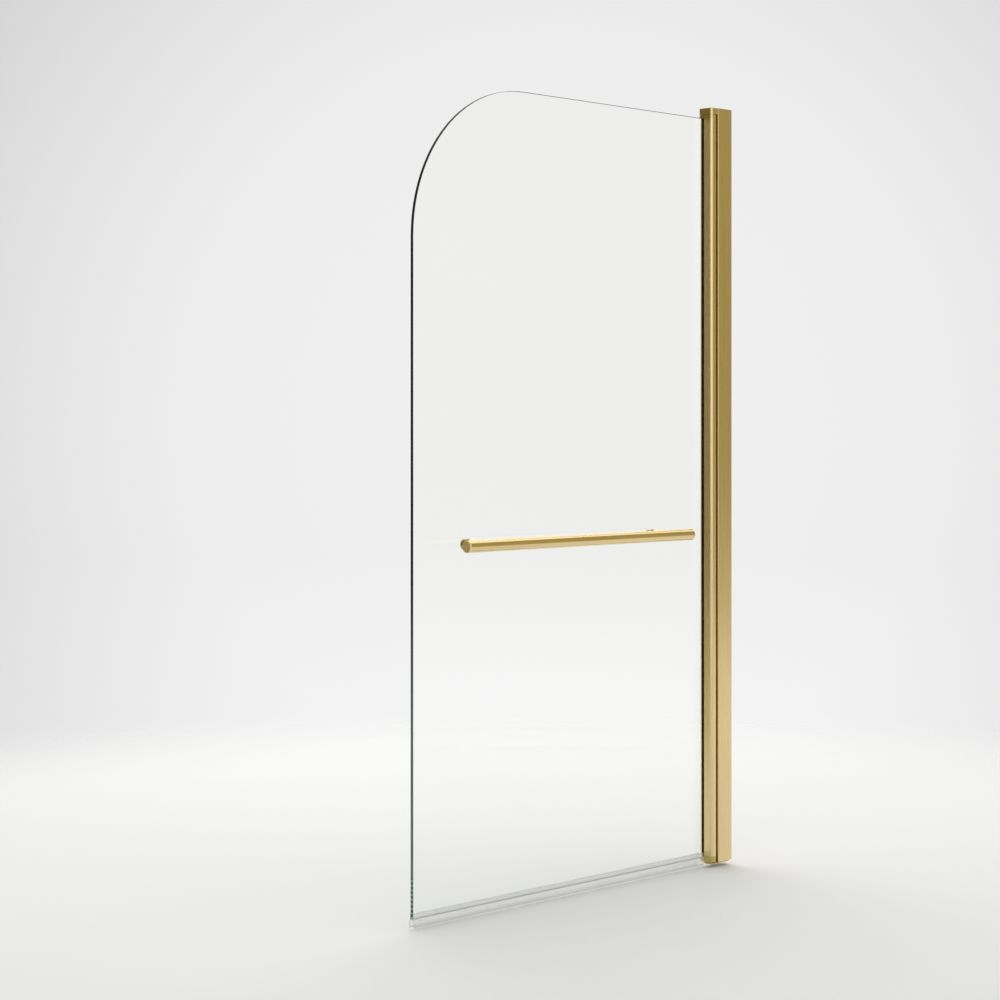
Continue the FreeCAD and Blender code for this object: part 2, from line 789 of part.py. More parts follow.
def clamps():
    """Screws through the channel's rear flange that lock the adjusting post, with nuts and covers."""
    screws = []
    nuts = []
    covers = []
    nut_high = f"({ADJUSTING_HALF} - adjusting_wall)"
    nut_low = f"({nut_high} - clamp_nut_thickness)"
    half_nut = "clamp_nut_width / 2"
    x = "-clamp_from_wall"
    cover_height = "(clamp_head_height + cover_gap + cover_wall)"
    for i, height in enumerate(CLAMP_HEIGHTS):
        head = cylinder(f"clamp_head_{i}", "clamp_head_radius", (x, HALF, height), "clamp_head_height", "y")
        shank = cylinder(
            f"clamp_shank_{i}", "clamp_screw_radius", (x, nut_low, height), f"{HALF} - {nut_low}", "y"
        )
        socket = hexagon(
            f"clamp_socket_{i}",
            "clamp_socket_radius",
            (x, f"{HALF} + clamp_head_height - clamp_socket_depth", height),
            "clamp_socket_depth",
            "y",
        )
        screws.append(cut(f"clamp_screw_{i}", fuse(f"clamp_screw_solid_{i}", [head, shank]), [socket]))
        block = box(
            f"clamp_nut_block_{i}",
            (f"{x} - {half_nut}", f"{x} + {half_nut}"),
            (nut_low, nut_high),
            (f"{height} - {half_nut}", f"{height} + {half_nut}"),
        )
        thread = cylinder(
            f"clamp_nut_thread_{i}", "clamp_screw_radius", (x, nut_low, height), "clamp_nut_thickness", "y"
        )
        nuts.append(cut(f"clamp_nut_{i}", block, [thread]))
        shell = cylinder(f"cover_shell_{i}", "cover_radius", (x, HALF, height), cover_height, "y")
        outside = at_depth("y", number(f"{HALF} + {cover_height}"))
        eased = round_edges(f"cover_edge_{i}", shell, "cover_wall", outside)
        inside = cylinder(
            f"cover_inside_{i}",
            "cover_radius - cover_wall",
            (x, HALF, height),
            "clamp_head_height + cover_gap",
            "y",
        )
        covers.append(cut(f"clamp_cover_{i}", eased, [inside]))
    keep("clamp_screws", group("clamp_screws", screws))
    keep("clamp_nuts", group("clamp_nuts", nuts))
    keep("clamp_covers", group("clamp_covers", covers))


# ---------------------------------------------------------------- glass and glazing


def glass_panel():
    """Clear panel with a quarter-round top corner, ground edges and two holes for the rail."""
    body = doc.addObject("PartDesign::Body", "glass_panel")
    panel = outline(
        body,
        "glass_outline",
        "XZ_Plane",
        [
            ("-screen_width", "glass_lift"),
            (GLASS_END, "glass_lift"),
            (GLASS_END, PROFILE_TOP),
            ("-screen_width", PROFILE_TOP),
        ],
        f"-{GLASS_BACK}",
    )
    pad(body, panel, "glass_thickness")
    doc.recompute()
    free, top = number("-screen_width"), number(PROFILE_TOP)

    def corner_edge(edge):
        points = [vertex.Point for vertex in edge.Vertexes]
        return all(abs(point.x - free) < NEAR and abs(point.z - top) < NEAR for point in points)

    dress(body, "Fillet", "glass_corner", corner_edge, "glass_corner_radius")
    holes = circles(
        body,
        "glass_holes",
        "XZ_Plane",
        [(x, "rail_height") for x in POST_PLACES.values()],
        "glass_hole_radius",
        f"-{GLASS_BACK} - overrun",
    )
    pocket(body, holes, "glass_thickness + overrun * 2", reverse=True)
    faces = [number(GLASS_FRONT), number(GLASS_BACK)]

    def rim_edge(edge):
        bounds = edge.BoundBox
        on_face = any(abs(bounds.YMin - y) < NEAR and abs(bounds.YMax - y) < NEAR for y in faces)
        return on_face and bounds.DiagonalLength > LONG_EDGE

    dress(body, "Chamfer", "glass_arris_cut", rim_edge, "glass_arris")
    keep("glass_panel", body)


def strip(node, section, role, offset, length):
    """An extruded strip of constant section."""
    body = doc.addObject("PartDesign::Body", node)
    sketch = outline(body, f"{node}_section", role, section, offset)
    pad(body, sketch, length)
    keep(node, body)
    return body


def glazing():
    """Gasket in front of the glass, tape behind it, and the packers that it stands on and against."""
    length = f"{PROFILE_TOP} - {PROFILE_BOTTOM}"
    face = "-nose_reach"
    strip(
        "front_gasket",
        [
            (SLOT_END, SLOT_FRONT),
            (SLOT_END, GLASS_FRONT),
            (f"{face} - gasket_stand", GLASS_FRONT),
            (face, f"{SLOT_FRONT} + gasket_bevel"),
            (face, SLOT_FRONT),
        ],
        "XY_Plane",
        PROFILE_BOTTOM,
        length,
    )
    strip(
        "rear_glazing_tape",
        [(SLOT_END, GLASS_BACK), (SLOT_END, SLOT_BACK), (face, SLOT_BACK), (face, GLASS_BACK)],
        "XY_Plane",
        PROFILE_BOTTOM,
        length,
    )
    packers = [
        box(
            f"edge_packer_{i}",
            (GLASS_END, SLOT_END),
            (GLASS_FRONT, GLASS_BACK),
            (low, f"{low} + packer_length"),
        )
        for i, low in enumerate(
            (f"{PROFILE_BOTTOM} + packer_margin", f"{PROFILE_TOP} - packer_margin - packer_length")
        )
    ]
    foot = box(
        "foot_packer",
        ("-nose_reach + foot_packer_inset", GLASS_END),
        (GLASS_FRONT, GLASS_BACK),
        ("glass_lift - foot_pad", "glass_lift"),
    )
    keep("glass_packers", group("glass_packers", packers + [foot]))


def gap_seal():
    """Wiper strip on the hollow face, just clear of the turning barrel."""
    inner = "(barrel_radius + gap_seal_touch)"
    length = f"({HEAD_BOTTOM} - {PLATE_TOP})"
    centre = ("0", "0", "0")
    block = box(
        "gap_seal_block",
        (inner, f"{NEST_RADIUS} + overrun"),
        ("-gap_seal_width / 2", "gap_seal_width / 2"),
        ("0", length),
    )
    nest = cylinder("gap_seal_nest", NEST_RADIUS, centre, length)
    barrel = cylinder("gap_seal_barrel", inner, centre, length)
    seal = cut("gap_seal", common("gap_seal_arc", [block, nest]), [barrel])
    place(seal, PIVOT_X, PIVOT_Y, PLATE_TOP)
    seal.setExpression("Placement.Rotation.Angle", bound("gap_seal_angle"))
    keep("gap_seal", seal)


def bottom_seal():
    """Clear extruded seal: a clip round the foot of the glass, two flared lips and two skirts. Its rear
    side is notched beside the post, so that it passes the wall channel as the screen swings inwards."""
    inner_front = f"({GLASS_FRONT} - seal_fit)"
    inner_back = f"({GLASS_BACK} + seal_fit)"
    lip_top = "(glass_lift + seal_lip_height)"
    floor = "(glass_lift - seal_wall)"
    fin = "seal_fin_width"
    section = [
        (inner_front, "glass_lift"),
        (inner_back, "glass_lift"),
        (inner_back, f"{lip_top} - seal_wall * 2"),
        (f"{inner_back} + seal_lip_flare - seal_wall / 2", lip_top),
        (f"{inner_back} + seal_lip_flare + seal_wall / 2", f"{lip_top} - seal_wall / 2"),
        (f"{inner_back} + seal_wall", f"{lip_top} - seal_wall * 3"),
        (f"{inner_back} + seal_wall", f"{floor} + seal_wall"),
        (f"{inner_back} + seal_skirt_reach", f"{floor} - seal_skirt_reach"),
        (f"{inner_back} + seal_skirt_reach - seal_fin_inset / 2", "0"),
        (f"{inner_back} + seal_skirt_reach - seal_fin_inset / 2 - {fin}", "0"),
        (f"{inner_back} + seal_skirt_reach - {fin}", f"{floor} - seal_skirt_reach - seal_wall / 2"),
        (f"{inner_back} - seal_wall / 2", floor),
        (f"{inner_front} + seal_wall / 2", floor),
        (f"{inner_front} - seal_skirt_reach + {fin}", f"{floor} - seal_skirt_reach - seal_wall / 2"),
        (f"{inner_front} - seal_skirt_reach + seal_fin_inset / 2 + {fin}", "0"),
        (f"{inner_front} - seal_skirt_reach + seal_fin_inset / 2", "0"),
        (f"{inner_front} - seal_skirt_reach", f"{floor} - seal_skirt_reach"),
        (f"{inner_front} - seal_wall", f"{floor} + seal_wall"),
        (f"{inner_front} - seal_wall", f"{lip_top} - seal_wall * 3"),
        (f"{inner_front} - seal_lip_flare - seal_wall / 2", f"{lip_top} - seal_wall / 2"),
        (f"{inner_front} - seal_lip_flare + seal_wall / 2", lip_top),
        (inner_front, f"{lip_top} - seal_wall * 2"),
    ]
    body = strip(
        "bottom_seal",
        section,
        "YZ_Plane",
        "-screen_width",
        "screen_width - nose_reach - seal_end_gap",
    )
    doc.recompute()
    post_end = "-nose_reach - seal_end_gap"
    outside = f"{inner_back} + seal_skirt_reach + overrun"
    notch = outline(
        body,
        "seal_notch",
        "XY_Plane",
        [
            (f"{post_end} - seal_notch_length", f"{inner_back} - seal_wall"),
            (f"{post_end} + seal_end_gap / 2", f"{inner_back} - seal_wall"),
            (f"{post_end} + seal_end_gap / 2", outside),
            (f"{post_end} - seal_notch_length", outside),
        ],
    )
    pocket(body, notch, f"{lip_top} + overrun", reverse=True)


# ---------------------------------------------------------------- towel rail


def towel_bar():
    """Round tube with a hole for each post's spigot, and a plugged cap at each end."""
    start = (f"{BAR_START} + bar_cap_thickness", BAR_Y, "rail_height")
    length = "bar_length - bar_cap_thickness * 2"
    tube = cylinder("bar_tube", "bar_radius", start, length, "x")
    bore = cylinder("bar_bore", "bar_radius - bar_wall", start, length, "x")
    holes = [
        cylinder(f"bar_spigot_hole_{name}", "spigot_radius", (x, BAR_Y, "rail_height"), "bar_radius", "y")
        for name, x in POST_PLACES.items()
    ]
    keep("towel_bar", cut("towel_bar", tube, [bore] + holes))
    inner_end = f"{BAR_END} - bar_cap_thickness"
    caps = [
        bar_cap("free", BAR_START, BAR_START, f"{BAR_START} + bar_cap_thickness"),
        bar_cap("wall", BAR_END, inner_end, f"{inner_end} - bar_plug_length"),
    ]
    keep("bar_end_caps", group("bar_end_caps", caps))


def bar_cap(name, outside, disc_x, plug_x):
    """Cap of the tube: a disc with a rounded outer edge, and a plug in the bore."""
    disc = cylinder(
        f"bar_cap_disc_{name}", "bar_radius", (disc_x, BAR_Y, "rail_height"), "bar_cap_thickness", "x"
    )
    eased = round_edges(f"bar_cap_edge_{name}", disc, "bar_edge_radius", at_depth("x", number(outside)))
    plug = cylinder(
        f"bar_cap_plug_{name}",
        "bar_radius - bar_wall - bar_plug_clearance",
        (plug_x, BAR_Y, "rail_height"),
        "bar_plug_length",
        "x",
    )
    return fuse(f"bar_cap_{name}", [eased, plug])


def rail_fixings():
    """What carries the bar through the glass at each end."""
    front_face = f"({GLASS_FRONT} - rail_washer_thickness)"
    rear_face = f"({GLASS_BACK} + rail_washer_thickness)"
    studs = []
    sleeves = []
    washers = {"front_washers": [], "rear_washers": []}
    for name, x in POST_PLACES.items():
        column = cylinder(
            f"post_column_{name}",
            "rail_post_radius",
            (x, BAR_Y, "rail_height"),
            f"{front_face} - {BAR_Y}",
            "y",
        )
        saddle = cylinder(
            f"post_saddle_{name}",
            "bar_radius",
            (f"{x} - rail_post_radius - overrun", BAR_Y, "rail_height"),
            "rail_post_radius * 2 + overrun * 2",
            "x",
        )
        spigot = cylinder(
            f"post_spigot_{name}",
            "spigot_radius",
            (x, f"{BAR_Y} + bar_radius - bar_wall", "rail_height"),
            "bar_wall + spigot_root",
            "y",
        )
        thread = cylinder(
            f"post_thread_{name}",
            "stud_radius",
            (x, f"{front_face} - stud_grip", "rail_height"),
            "stud_grip",
            "y",
        )
        saddled = cut(f"post_saddled_{name}", column, [saddle])
        solid = fuse(f"post_solid_{name}", [saddled, spigot])
        keep(f"rail_post_{name}", cut(f"rail_post_{name}", solid, [thread]))
        cap = cylinder(
            f"cap_blank_{name}", "rear_cap_radius", (x, rear_face, "rail_height"), "rear_cap_height", "y"
        )
        outside = at_depth("y", number(f"{rear_face} + rear_cap_height"))
        eased = round_edges(f"cap_edge_{name}", cap, "rear_cap_edge_radius", outside)
        cap_thread = cylinder(
            f"cap_thread_{name}", "stud_radius", (x, rear_face, "rail_height"), "stud_cap_grip", "y"
        )
        keep(f"rear_cap_{name}", cut(f"rear_cap_{name}", eased, [cap_thread]))
        studs.append(
            cylinder(
                f"stud_{name}",
                "stud_radius",
                (x, f"{front_face} - stud_grip", "rail_height"),
                f"{rear_face} + stud_cap_grip - {front_face} + stud_grip",
                "y",
            )
        )
        sleeve = cylinder(
            f"sleeve_outer_{name}",
            "glass_hole_radius - sleeve_clearance",
            (x, GLASS_FRONT, "rail_height"),
            "glass_thickness",
            "y",
        )
        sleeve_bore = cylinder(
            f"sleeve_bore_{name}",
            "stud_radius + stud_clearance",
            (x, GLASS_FRONT, "rail_height"),
            "glass_thickness",
            "y",
        )
        sleeves.append(cut(f"sleeve_{name}", sleeve, [sleeve_bore]))
        for node, low in (("front_washers", front_face), ("rear_washers", GLASS_BACK)):
            disc = cylinder(
                f"{node}_disc_{name}",
                "rail_washer_radius",
                (x, low, "rail_height"),
                "rail_washer_thickness",
                "y",
            )
            hole = cylinder(
                f"{node}_hole_{name}",
                "stud_radius + stud_clearance",
                (x, low, "rail_height"),
                "rail_washer_thickness",
                "y",
            )
            washers[node].append(cut(f"{node}_{name}", disc, [hole]))
    keep("rail_studs", group("rail_studs", studs))
    keep("glass_sleeves", group("glass_sleeves", sleeves))
    for node, discs in washers.items():
        keep(node, group(node, discs))


# ---------------------------------------------------------------- build, check and write

wall_channel()
adjusting_post()
pivot_profile()
top_collar()
bottom_end_cap()
top_head()
bottom_plate()
pins_and_bushes()
clamps()
glass_panel()
glazing()
gap_seal()
bottom_seal()
towel_bar()
rail_fixings()
doc.removeObject(probe.Name)
doc.recompute()

for item in doc.Objects:
    if "Invalid" in item.State or "Error" in item.State:
        raise ValueError(f"{item.Name} failed: {item.State}")
for node, item in nodes.items():
    shape = item.Shape
    if shape.isNull() or not shape.isValid() or not shape.Solids:
        raise ValueError(f"{node} has no valid solid")

os.makedirs("parts", exist_ok=True)
for node, item in nodes.items():
    item.Shape.exportStep(f"parts/{node}.step")
    bounds = item.Shape.BoundBox
    print(
        f"{node}: {len(item.Shape.Solids)} solid(s), {item.Shape.Volume / 1000:.2f} cm3,",
        f"x {bounds.XMin:.1f}..{bounds.XMax:.1f}",
        f"y {bounds.YMin:.1f}..{bounds.YMax:.1f}",
        f"z {bounds.ZMin:.1f}..{bounds.ZMax:.1f}",
    )
print(f"{len(nodes)} nodes")
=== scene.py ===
# %% [markdown]
# # A hinged bath screen
# This notebook dresses the frame of a bath screen: a clear glass panel that swings on a brass post, with a
# towel rail through the glass and a clear seal along its foot. The frame brings every rigid part in its
# true place, in metres. Here the parts get their finishes, the soft seal gets its rounded section, and the
# whole thing is put in a plain pale studio.

import math

import bmesh
import bpy
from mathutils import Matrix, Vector


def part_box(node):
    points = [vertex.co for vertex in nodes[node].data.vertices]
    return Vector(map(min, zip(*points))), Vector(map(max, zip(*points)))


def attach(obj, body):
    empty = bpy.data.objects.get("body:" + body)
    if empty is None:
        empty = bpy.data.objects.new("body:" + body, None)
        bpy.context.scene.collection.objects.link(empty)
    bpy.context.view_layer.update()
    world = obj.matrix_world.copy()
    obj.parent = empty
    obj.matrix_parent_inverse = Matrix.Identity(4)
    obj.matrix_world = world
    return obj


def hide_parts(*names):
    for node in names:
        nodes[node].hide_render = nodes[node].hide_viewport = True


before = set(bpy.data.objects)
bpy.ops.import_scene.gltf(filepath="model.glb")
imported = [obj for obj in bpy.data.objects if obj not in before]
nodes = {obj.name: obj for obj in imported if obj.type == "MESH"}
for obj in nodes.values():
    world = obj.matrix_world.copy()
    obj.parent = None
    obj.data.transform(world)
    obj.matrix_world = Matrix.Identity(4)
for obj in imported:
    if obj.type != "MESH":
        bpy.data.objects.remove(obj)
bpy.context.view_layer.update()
scene = bpy.context.scene
scene.view_settings.view_transform = "Standard"
print(len(nodes), "parts loaded")

# %% [markdown]
# ## A small kit for materials
# A finish in Blender is a graph of nodes. Wired one by one, a graph takes a page of code that nobody reads.
# So a few short helpers stand for what a person does in the shader editor: add a node, link its inputs, map
# one range to another, mix two shaders. Each finish further down is then a few readable lines.

# %% Helpers for nodes
COLOUR_A = 6
COLOUR_B = 7
COLOUR_RESULT = 2


def new_material(name):
    """A node material, its tree and its main shader."""
    material = bpy.data.materials.new(name)
    material.use_nodes = True
    return material, material.node_tree, material.node_tree.nodes["Principled BSDF"]


def set_inputs(node, inputs):
    """The node's inputs, set to values or linked to sockets."""
    for key, value in inputs.items():
        if isinstance(value, bpy.types.NodeSocket):
            node.id_data.links.new(value, node.inputs[key])
        else:
            node.inputs[key].default_value = value


def add_node(tree, kind, inputs=None, **settings):
    """A node with its settings and its inputs."""
    node = tree.nodes.new(kind)
    for key, value in settings.items():
        setattr(node, key, value)
    set_inputs(node, inputs or {})
    return node


def to_surface(tree, shader):
    """Wire a shader to the material's output."""
    set_inputs(tree.nodes["Material Output"], {"Surface": shader})


print("helpers for nodes")

# %% Helpers for values and colours


def maths(tree, operation, *values):
    """The result of one step of arithmetic on numbers and sockets."""
    return add_node(tree, "ShaderNodeMath", dict(enumerate(values)), operation=operation).outputs[0]


def map_range(tree, value, source, target=(0.0, 1.0), **settings):
    """A value moved from the source range to the target range."""
    inputs = {
        "Value": value,
        "From Min": source[0],
        "From Max": source[1],
        "To Min": target[0],
        "To Max": target[1],
    }
    return add_node(tree, "ShaderNodeMapRange", inputs, **settings).outputs["Result"]


def object_place(tree):
    """Where a point lies in its object's own coordinates."""
    return add_node(tree, "ShaderNodeTexCoord").outputs["Object"]


def split_axes(tree, vector):
    """The X, Y and Z of a vector."""
    return add_node(tree, "ShaderNodeSeparateXYZ", {"Vector": vector}).outputs


def noise(tree, place, scale, detail=2.0):
    """Soft random mottle between 0 and 1."""
    inputs = {"Vector": place, "Scale": scale, "Detail": detail}
    return add_node(tree, "ShaderNodeTexNoise", inputs).outputs["Fac"]


def streaks(tree, scale, detail):
    """Noise drawn out into fine lines along the axis that has the smallest scale."""
    drawn = add_node(tree, "ShaderNodeMapping", {"Vector": object_place(tree), "Scale": scale})
    return noise(tree, drawn.outputs["Vector"], 1.0, detail)


def ramp(tree, factor, stops):
    """A colour ramp through (place, colour) stops."""
    node = add_node(tree, "ShaderNodeValToRGB", {"Fac": factor})
    elements = node.color_ramp.elements
    while len(elements) < len(stops):
        elements.new(0.5)
    while len(elements) > len(stops):
        elements.remove(elements[-1])
    for element, (place, colour) in zip(elements, stops):
        element.position = place
        element.color = (*colour, 1)
    return node.outputs["Color"]


def mix_colours(tree, factor, first, second, blend="MIX"):
    """Two colours mixed, or multiplied."""
    inputs = {"Factor": factor, COLOUR_A: first, COLOUR_B: second}
    node = add_node(tree, "ShaderNodeMix", inputs, data_type="RGBA", blend_type=blend)
    return node.outputs[COLOUR_RESULT]


print("helpers for values and colours")

# %% Helpers for shaders


def mix_shaders(tree, factor, first, second):
    """The first shader where the factor is 0 and the second where it is 1."""
    return add_node(tree, "ShaderNodeMixShader", {0: factor, 1: first, 2: second}).outputs[0]


def transparent(tree, tint=(1.0, 1.0, 1.0)):
    """A shader that lets light straight through, tinted."""
    return add_node(tree, "ShaderNodeBsdfTransparent", {"Color": (*tint, 1)}).outputs[0]


def pale_shadow(tree, body, tint):
    """The body's shader, which shadow rays pass with only a tint, as light does through a real pane."""
    shadow_ray = add_node(tree, "ShaderNodeLightPath").outputs["Is Shadow Ray"]
    return mix_shaders(tree, shadow_ray, body, transparent(tree, tint))


def add_bump(tree, shader, height, strength, distance):
    """A low bump on a shader."""
    inputs = {"Height": height, "Strength": strength, "Distance": distance}
    set_inputs(shader, {"Normal": add_node(tree, "ShaderNodeBump", inputs).outputs["Normal"]})


def mesh_object(name, shape, material):
    """An object from a finished bmesh, with its place in its mesh."""
    mesh = bpy.data.meshes.new(name)
    shape.to_mesh(mesh)
    shape.free()
    item = bpy.data.objects.new(name, mesh)
    scene.collection.objects.link(item)
    mesh.materials.append(material)
    return item


print("helpers for shaders and objects")

# %% [markdown]
# ## Brushed brass
# The profiles are aluminium with a brushed brass finish, and the rail is brushed brass tube. Brushing leaves
# fine scratches in one direction. They could be an image, but noise stretched along the brushing does the
# same at any size: it moves the colour and the roughness a little, and a low bump breaks up the highlight.

# %% Brushed brass
PROFILE_FINENESS = 2600.0
TRIM_FINENESS = 1800.0
LINE_STRETCH = 260.0
LINE_DETAIL = 4.0
BAND_WIDTH = 9
BAND_STRETCH = 40.0
BAND_DETAIL = 2.0
DARK_SHARE = 0.93
LIGHT_SHARE = 1.05
TINT_STOPS = (0.35, 0.65)
LINE_RANGE = (0.3, 0.7)
SMOOTHER = 0.04
ROUGHER = 0.05
SCRATCH_STRENGTH = 0.12
SCRATCH_DEPTH = 0.00004


def brush_scale(along, fineness, stretch):
    """Noise scales on X, Y and Z for lines along one axis."""
    scale = [fineness] * 3
    scale["xyz".index(along)] = fineness / stretch
    return scale


def brushed_brass(name, along, colour, roughness, fineness=PROFILE_FINENESS):
    """Brass with brush lines along one axis."""
    material, tree, shader = new_material(name)
    lines = streaks(tree, brush_scale(along, fineness, LINE_STRETCH), LINE_DETAIL)
    bands = streaks(tree, brush_scale(along, fineness / BAND_WIDTH, BAND_STRETCH), BAND_DETAIL)
    level = maths(tree, "MULTIPLY", maths(tree, "ADD", lines, bands), 0.5)
    dark = [part * DARK_SHARE for part in colour]
    light = [min(1.0, part * LIGHT_SHARE) for part in colour]
    set_inputs(shader, {
        "Base Color": ramp(tree, level, list(zip(TINT_STOPS, (dark, light)))),
        "Roughness": map_range(tree, lines, LINE_RANGE, (roughness - SMOOTHER, roughness + ROUGHER)),
        "Metallic": 1.0,
    })
    add_bump(tree, shader, lines, SCRATCH_STRENGTH, SCRATCH_DEPTH)
    return material


print("a finish for brushed brass")

# %% [markdown]
# One finish serves all the brass, but not with the same numbers. The profiles are brushed along their height
# and the rail along its length. The castings at the head and foot have coarser lines and look more satin. The
# foot castings and the rear caps are also painted darker than the rest, a painted shade. The small posts,
# clamp covers and end caps of the rail are brushed the short way and painted paler, a painted light. The
# inner profile is painted paler too, to make up for the little light that gets to it.

# %% Kinds of brass
BRASS = (0.80, 0.635, 0.335)
profile_brass = brushed_brass("profile_brushed_brass", along="z", colour=BRASS, roughness=0.27)
inner_brass = brushed_brass("inner_profile_brass", along="z", colour=(0.97, 0.79, 0.42), roughness=0.45)
rail_brass = brushed_brass("rail_brushed_brass", along="x", colour=BRASS, roughness=0.18)
trim_brass = brushed_brass(
    "trim_satin_brass", along="x", colour=(0.78, 0.62, 0.31), roughness=0.30, fineness=TRIM_FINENESS
)
# Painted shade: the foot castings and rear caps get darker brass, standing in for the shade they sit in.
shaded_foot_brass = brushed_brass(
    "foot_satin_brass_painted_shade", along="x", colour=(0.56, 0.45, 0.17), roughness=0.30, fineness=TRIM_FINENESS
)
# Painted light: the rail's posts, clamp covers and end caps get paler brass than the rest, to lift faces that
# mirror too little light.
lit_post_brass = brushed_brass("rail_post_brass_painted_light", along="y", colour=(0.95, 0.73, 0.36), roughness=0.42)
print("brushed brass for six kinds of parts")

# %% [markdown]
# ## Plain finishes
# Steel screws, nylon bushes and black rubber are small or hidden, but each still has its own grain: turned
# steel, the soft mottle of nylon, and the dull bloom of rubber.

# %% Plain finishes
GRAIN_DETAIL = 5.0
GRAIN_STOPS = (0.3, 0.7)
GRAIN_DARK = 0.85
GRAIN_ROUGHNESS = 0.06
GRAIN_STRENGTH = 0.2


def plain(name, colour, roughness, metallic, grain, depth, sheen=0.5):
    """A fine-grained finish with a little variation in colour and roughness."""
    material, tree, shader = new_material(name)
    mottle = noise(tree, object_place(tree), grain, GRAIN_DETAIL)
    dark = [part * GRAIN_DARK for part in colour]
    set_inputs(shader, {
        "Base Color": ramp(tree, mottle, list(zip(GRAIN_STOPS, (dark, colour)))),
        "Roughness": map_range(
            tree, mottle, (0.0, 1.0), (roughness - GRAIN_ROUGHNESS, roughness + GRAIN_ROUGHNESS)
        ),
        "Metallic": metallic,
        "Specular IOR Level": sheen,
    })
    add_bump(tree, shader, mottle, GRAIN_STRENGTH, depth)
    return material


steel = plain(
    "turned_steel", colour=(0.60, 0.60, 0.61), roughness=0.3, metallic=1.0, grain=900.0, depth=0.00002
)
nylon = plain(
    "white_nylon", colour=(0.80, 0.79, 0.75), roughness=0.5, metallic=0.0, grain=500.0, depth=0.00003
)
rubber = plain(
    "black_rubber",
    colour=(0.030, 0.016, 0.002),
    roughness=0.6,
    metallic=0.0,
    grain=1200.0,
    depth=0.00004,
    sheen=0.1,
)
print("steel, nylon and rubber")

# %% [markdown]
# ## Clear glass
# The panel is clear float glass 6 mm thick with ground edges. Its faces only show as a faint green-grey veil,
# while its edges look dark green, because light that reaches them has crossed the whole sheet. One material
# can do both: a point that lies between the planes of the two big faces belongs to the rim. This is measured
# in the panel's own coordinates, so it holds at every angle of the swing.

# %% The rim of the glass
GLASS_FRONT, GLASS_BACK = (corner[1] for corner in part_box("glass_panel"))
GLASS_MIDDLE = (GLASS_FRONT + GLASS_BACK) / 2
FACE_SKIN = 0.00005
RIM_REACH = (GLASS_BACK - GLASS_FRONT) / 2 - FACE_SKIN
RIM_PLAIN = (0.118, 0.150, 0.130)
RIM_DARK = (0.040, 0.085, 0.066)
RIM_LIGHT = (0.300, 0.470, 0.395)
# Painted shade: the next colour darkens the rim between the two heights below it, darker high up and plain
# low down.
RIM_PAINTED_SHADE = (0.12, 0.11, 0.10)
RIM_DARK_ABOVE = 0.56
RIM_LIGHT_BELOW = 0.34
RIM_ROUGHNESS = 0.35
RIM_IOR = 1.3
MARKS_BELOW = 0.078
MARK_SPACING = 0.0075
MARK_STOPS = (0.2, 0.9)
MARK_MOTTLE = 60.0


def rim_shader(tree, place, height):
    """The dark green rim: painted shade darkens it high up, and near the foot it has regular light and dark
    bands.
    """
    level = map_range(tree, height, (RIM_LIGHT_BELOW, RIM_DARK_ABOVE))
    fade = ramp(tree, level, [(0.0, (1.0, 1.0, 1.0)), (1.0, RIM_PAINTED_SHADE)])
    uneven = noise(tree, place, MARK_MOTTLE)
    turns = maths(tree, "MULTIPLY_ADD", height, math.tau / MARK_SPACING, uneven)
    wave = maths(tree, "SINE", turns)
    marks = ramp(tree, wave, list(zip(MARK_STOPS, (RIM_DARK, RIM_LIGHT))))
    marked = map_range(tree, height, (MARKS_BELOW, MARKS_BELOW + MARK_SPACING), (1.0, 0.0))
    tone = mix_colours(tree, marked, (*RIM_PLAIN, 1), marks)
    colour = mix_colours(tree, 1.0, fade, tone, "MULTIPLY")
    inputs = {"Base Color": colour, "Roughness": RIM_ROUGHNESS, "IOR": RIM_IOR}
    return add_node(tree, "ShaderNodeBsdfPrincipled", inputs).outputs[0]


print("rim within", round(RIM_REACH * 1000, 2), "mm of the middle of the glass")

# %% Clear glass
GLASS_TINT = (0.985, 0.996, 0.988)
GLASS_IOR = 1.5
GLASS_SHINE = 0.12
GLASS_SHADOW = (0.80, 0.83, 0.81)


def glass_material():
    """Clear glass with a dark green rim."""
    material, tree, shader = new_material("clear_float_glass")
    set_inputs(shader, {
        "Base Color": (*GLASS_TINT, 1),
        "Roughness": 0.0,
        "IOR": GLASS_IOR,
        "Specular IOR Level": GLASS_SHINE,
        "Transmission Weight": 1.0,
    })
    place = object_place(tree)
    axes = split_axes(tree, place)
    is_rim = maths(tree, "COMPARE", axes["Y"], GLASS_MIDDLE, RIM_REACH)
    body = mix_shaders(tree, is_rim, shader.outputs[0], rim_shader(tree, place, axes["Z"]))
    to_surface(tree, pale_shadow(tree, body, GLASS_SHADOW))
    return material


glass = glass_material()
print("clear glass")

# %% [markdown]
# ## Clear vinyl
# The seal under the glass and the washers of the rail are clear soft vinyl. It is less clear than glass: it
# scatters some light inside, so it looks milky where it is seen edge-on.

# %% Clear vinyl
# Painted shade: the lowest few millimetres of the vinyl are greyed, for the shade where the seal meets the
# bath rim.
FOOT_SHADE_TINT = (0.74, 0.74, 0.75)
SHADED_FOOT_HEIGHT = 0.0035
SHADE_FULL_UP_TO = 0.7
VINYL_GRAIN = (8.0, 900.0, 900.0)
VINYL_DETAIL = 3.0
VINYL_STOPS = (0.3, 0.7)
VINYL_MILKY = (0.985, 0.985, 0.985)
VINYL_CLEAR = (1.0, 1.0, 1.0)
VINYL_ROUGHNESS = 0.2
VINYL_IOR = 1.46
VINYL_CLARITY = 0.8
VINYL_BUMP = 0.3
VINYL_DEPTH = 0.0001
VINYL_SHADOW = (0.88, 0.88, 0.88)


